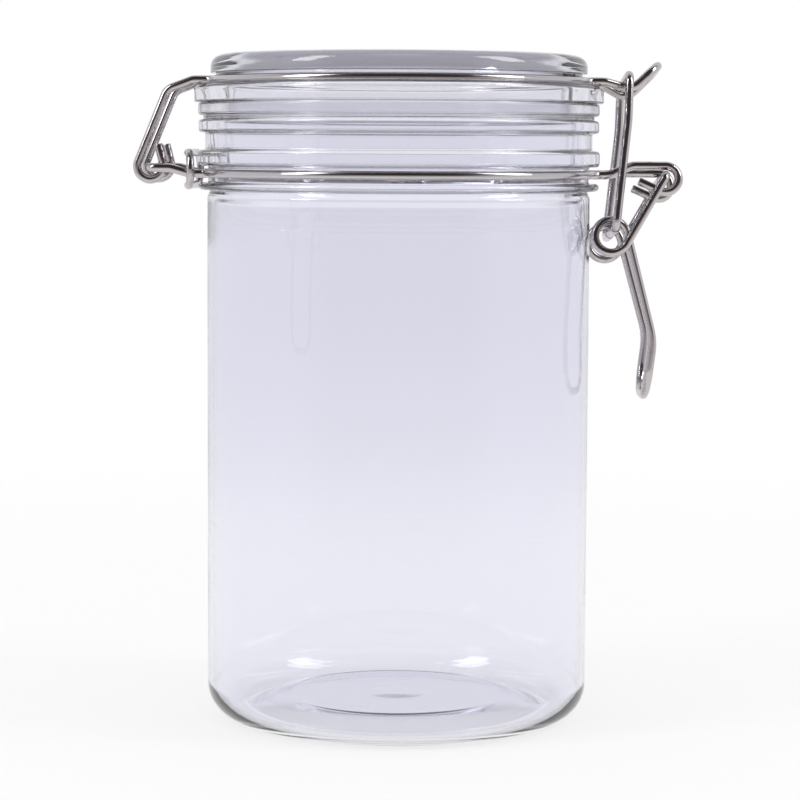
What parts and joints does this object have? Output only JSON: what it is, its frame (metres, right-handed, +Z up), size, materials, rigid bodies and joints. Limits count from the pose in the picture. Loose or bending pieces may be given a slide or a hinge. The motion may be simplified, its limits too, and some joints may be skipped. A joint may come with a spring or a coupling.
{
  "type": "clip-top storage jar",
  "caption": "Clear plastic storage jar with a hinged lid and gasket, held shut by a bail-wire clasp with a lever.",
  "frame": {"origin": "centre of the ring that the jar stands on, on the jar's axis", "axes": "+Z up along the jar's axis, +X towards the clasp and lever, the hinge on the -X side"},
  "size_m": [0.1389, 0.1054, 0.17],
  "materials": {
    "clear_jar": "clear, glossy",
    "clear_lid": "clear, glossy",
    "gasket": "translucent, satin",
    "wire": "polished"
  },
  "bodies": {
    "jar": {"jar_body": "clear_jar", "neck_wire": "wire", "wire_keeper": "wire"},
    "lid": {"lid": "clear_lid", "lid_gasket": "gasket", "lid_wire": "wire"},
    "lever": {"lever": "wire"},
    "draw_loop": {"draw_loop": "wire"}
  },
  "joints": [
    {"name": "lever_pivot", "type": "hinge", "parent": "jar", "child": "lever", "pos_m": [0.0675, -0.00002, 0.13875], "axis": [0, -0.9945, 0.1045], "range_deg": [0, 150]},
    {"name": "loop_swing", "type": "hinge", "parent": "lever", "child": "draw_loop", "pos_m": [0.05445, -0.00148, 0.12483], "axis": [0, -0.9945, 0.1045], "range_deg": [-145, 0]},
    {"name": "lid_hinge", "type": "hinge", "parent": "jar", "child": "lid", "pos_m": [-0.0629, 0, 0.1413], "axis": [0, -1, 0], "range_deg": [0, 110]}
  ],
  "couplings": [
    {"joint": "loop_swing", "follows": "lever_pivot", "ratio": -0.95},
    {"joint": "lid_hinge", "follows": "lever_pivot", "ratio": 0.72}
  ]
}
